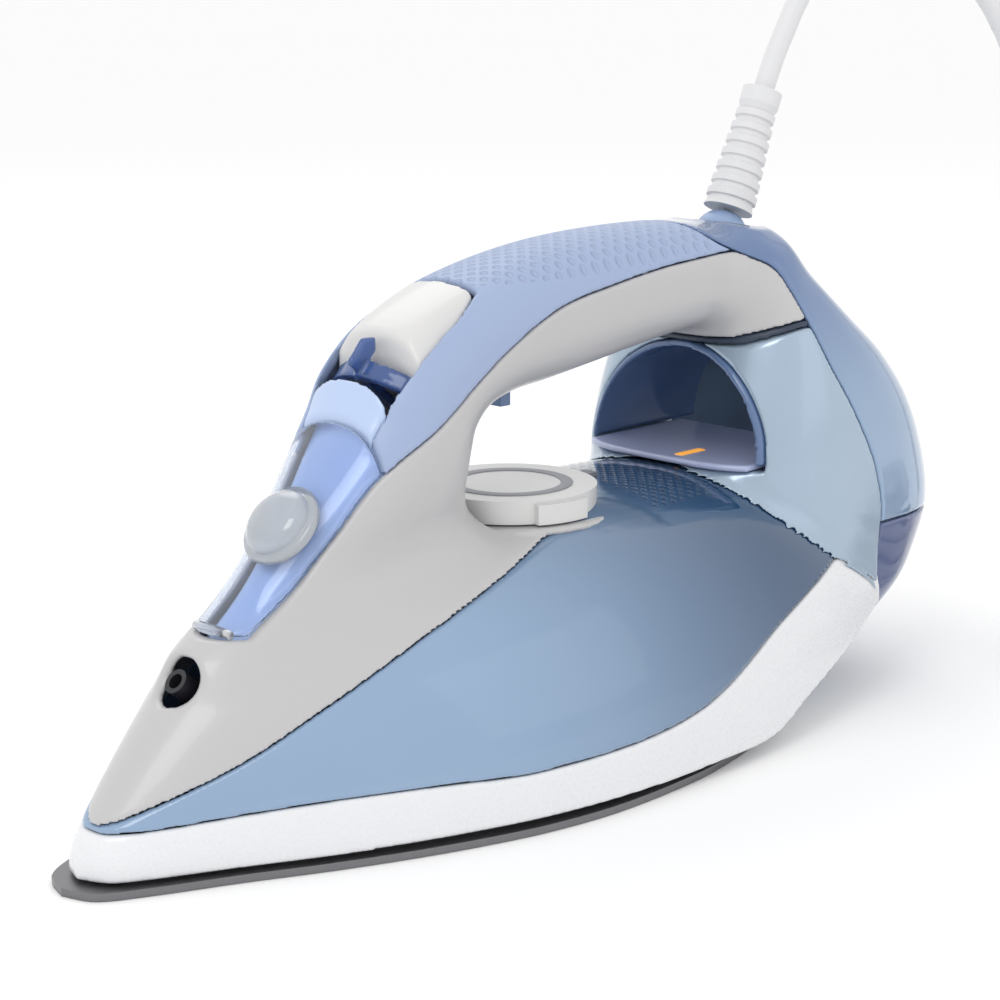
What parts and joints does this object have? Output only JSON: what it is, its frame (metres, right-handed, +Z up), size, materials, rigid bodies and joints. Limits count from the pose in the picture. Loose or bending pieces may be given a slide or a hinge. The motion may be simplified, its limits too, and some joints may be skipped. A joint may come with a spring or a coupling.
{
  "type": "steam iron",
  "caption": "Corded steam iron with pointed soleplate, water tank, closed handle over a dial, spray button, steam lever, filler door, arched rear support and upright cord exit.",
  "frame": {"origin": "middle of the bounding box without the cord, on the ironing face", "axes": "+X from the sole tip towards the heel, +Y to the side away from the picture view, +Z up"},
  "size_m": [0.4581, 0.211, 0.2495],
  "materials": {
    "sole_metal": "satin",
    "cast_alloy": "cast",
    "element_tube": "oxidised",
    "seal_rubber": "matte",
    "bimetal": "satin",
    "shaft_resin": "matte",
    "heat_board": "matte",
    "skirt_white": "gloss",
    "tank_blue": "translucent gloss",
    "shell_grey": "satin gloss",
    "handle_blue": "satin",
    "door_clear": "clear",
    "tray_blue": "gloss",
    "pin_steel": "satin",
    "lever_blue": "translucent gloss",
    "button_white": "satin",
    "pump_resin": "matte",
    "nozzle_black": "matte",
    "trigger_blue": "translucent gloss",
    "pointer_grey": "matte",
    "support_blue": "metallic gloss",
    "liner_blue": "gloss",
    "platform_blue": "gloss",
    "lens_amber": "lit amber",
    "board_green": "matte",
    "cover_blue": "translucent metallic",
    "heel_blue": "gloss",
    "foot_rubber": "matte",
    "swivel_blue": "satin",
    "cord_white": "matte",
    "pin_brass": "polished",
    "tie_grey": "matte"
  },
  "bodies": {
    "iron": {"soleplate": "sole_metal", "heater_casting": "cast_alloy", "chamber_cover": "cast_alloy", "heating_element": "element_tube", "chamber_gasket": "seal_rubber", "filler_gasket": "seal_rubber", "support_seal": "seal_rubber", "thermostat": "bimetal", "dosing_valve": "shaft_resin", "terminal_block": "shaft_resin", "heat_shield": "heat_board", "skirt": "skirt_white", "base_cover": "skirt_white", "water_tank": "tank_blue", "tank_base": "tank_blue", "upper_shell": "shell_grey", "handle_top": "handle_blue", "filler_funnel": "tray_blue", "symbol_band": "tray_blue", "door_hinge_pin": "pin_steel", "button_spring": "pin_steel", "trigger_pin": "pin_steel", "trigger_spring": "pin_steel", "screws": "pin_steel", "spray_pump": "pump_resin", "boost_pump": "pump_resin", "nozzle_hose": "pump_resin", "spray_nozzle": "nozzle_black", "dial_pointer": "pointer_grey", "rear_support": "support_blue", "arch_liner": "liner_blue", "arch_platform": "platform_blue", "indicator_lens": "lens_amber", "indicator_board": "board_green", "rear_cover": "cover_blue", "heel_cover": "heel_blue", "heel_feet": "foot_rubber"},
    "door": {"filler_door": "door_clear", "filler_plug": "door_clear"},
    "lever": {"steam_lever": "lever_blue", "dosing_rod": "shaft_resin"},
    "button": {"spray_button": "button_white", "pump_plunger": "button_white"},
    "boost": {"trigger": "trigger_blue"},
    "dial": {"temperature_dial": "button_white", "thermostat_shaft": "shaft_resin"},
    "lead": {"cord_ball": "swivel_blue", "strain_relief": "cord_white", "cord": "cord_white", "cord_coil": "cord_white", "cord_tail": "cord_white", "cord_tie": "tie_grey", "plug": "cord_white", "plug_pins": "pin_brass"}
  },
  "joints": [
    {"name": "door_hinge", "type": "hinge", "parent": "iron", "child": "door", "pos_m": [-0.11732, 0, 0.06138], "axis": [0, -1, 0], "range_deg": [0, 75]},
    {"name": "steam_lever_turn", "type": "hinge", "parent": "iron", "child": "lever", "pos_m": [-0.057, 0, 0.0966], "axis": [0.6626, 0, 0.749], "range_deg": [-18, 18]},
    {"name": "spray_button_press", "type": "slide", "parent": "iron", "child": "button", "axis": [0.2924, 0, -0.9563], "range_m": [0, 0.004], "stiffness_N_per_m": 700, "springref_m": -0.001, "deforming": ["button_spring"]},
    {"name": "boost_trigger_press", "type": "hinge", "parent": "iron", "child": "boost", "pos_m": [0.008, 0, 0.1245], "axis": [0, 1, 0], "range_deg": [0, 8], "stiffness_Nm_per_rad": 0.6, "springref_deg": -2.86, "deforming": ["trigger_spring"]},
    {"name": "dial_turn", "type": "hinge", "parent": "iron", "child": "dial", "pos_m": [-0.002, 0, 0.077], "axis": [0, 0, 1], "range_deg": [-150, 120]},
    {"name": "cord_swivel", "type": "hinge", "parent": "iron", "child": "lead", "pos_m": [0.096, 0, 0.15], "axis": [0, 0, 1], "range_deg": [-15, 15]}
  ]
}
